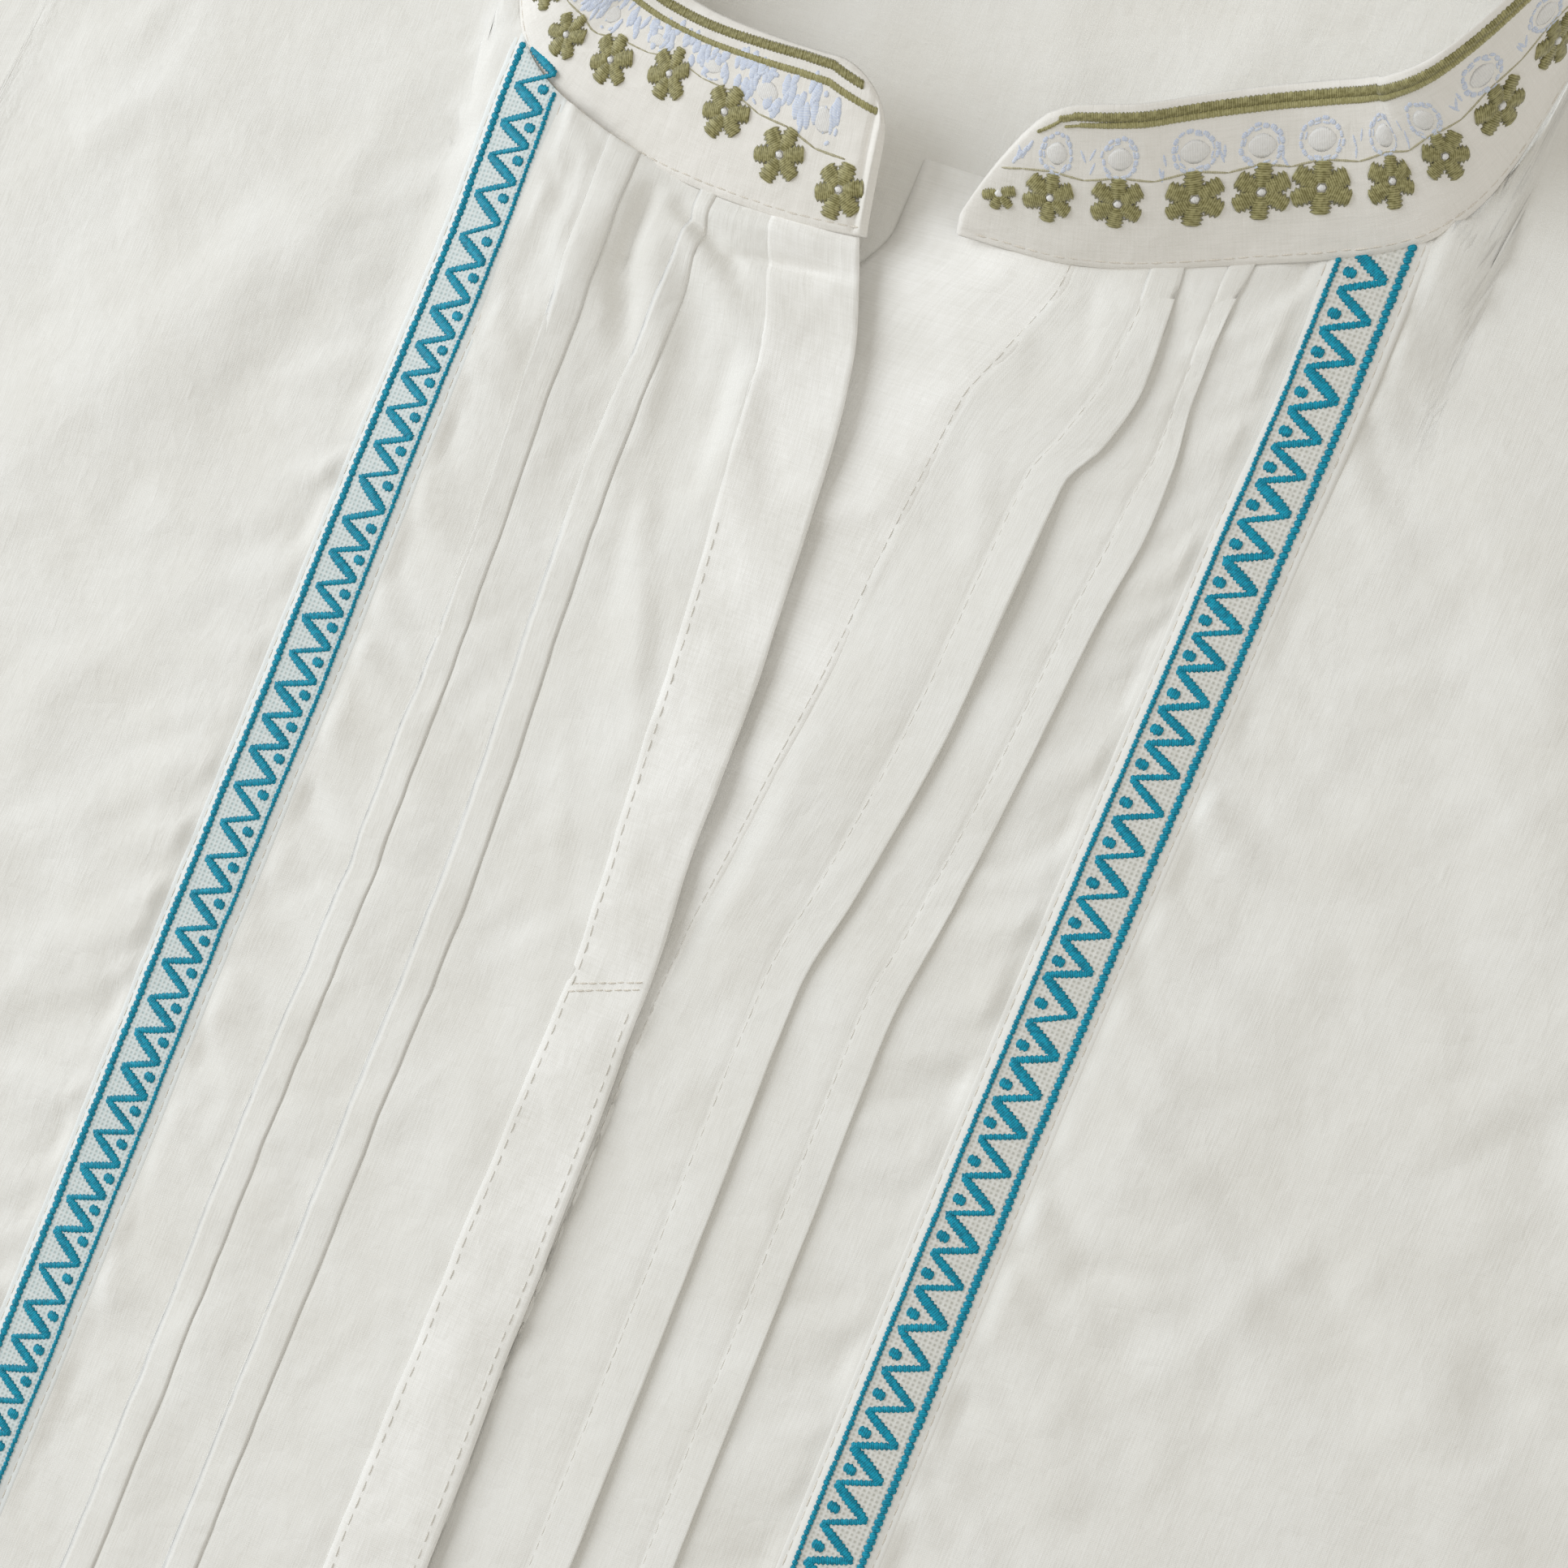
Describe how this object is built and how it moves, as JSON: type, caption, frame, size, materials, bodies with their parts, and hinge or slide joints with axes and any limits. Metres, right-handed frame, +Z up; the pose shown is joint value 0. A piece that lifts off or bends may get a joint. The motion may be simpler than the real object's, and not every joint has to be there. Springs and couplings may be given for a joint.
{
  "type": "embroidered blouse",
  "caption": "Folk blouse laid flat, front up: open slit neck with an embroidered band collar, pressed tucks, a centre placket and two woven trim bands down the front.",
  "frame": {"origin": "middle of the laid blouse's footprint, on the surface that it lies on", "axes": "+X to the viewer's right across the sleeves, +Y from the hem up to the collar, +Z up out of the front"},
  "size_m": [1.2616, 0.6818, 0.0374],
  "materials": {
    "cotton_cloth": "fine plain-weave off-white cotton, matt with slight slubs",
    "placket_cloth": "the same cotton, folded double, topstitched",
    "collar_cloth": "stiffened cotton with olive, white and pale blue embroidery",
    "woven_trim": "ribbed tape with teal zigzag, dots and corded edges",
    "thread": "cotton sewing thread",
    "embroidery_olive": "satin-stitched cotton thread",
    "embroidery_blue": "satin-stitched cotton thread, pale blue and white"
  },
  "bodies": {
    "root": {"back": "cotton_cloth", "front_left": "cotton_cloth", "front_right": "cotton_cloth", "sleeve_left": "cotton_cloth", "sleeve_right": "cotton_cloth", "placket_top": "placket_cloth", "placket_under": "placket_cloth", "collar": "collar_cloth", "trim_left": "woven_trim", "trim_right": "woven_trim"}
  },
  "joints": []
}
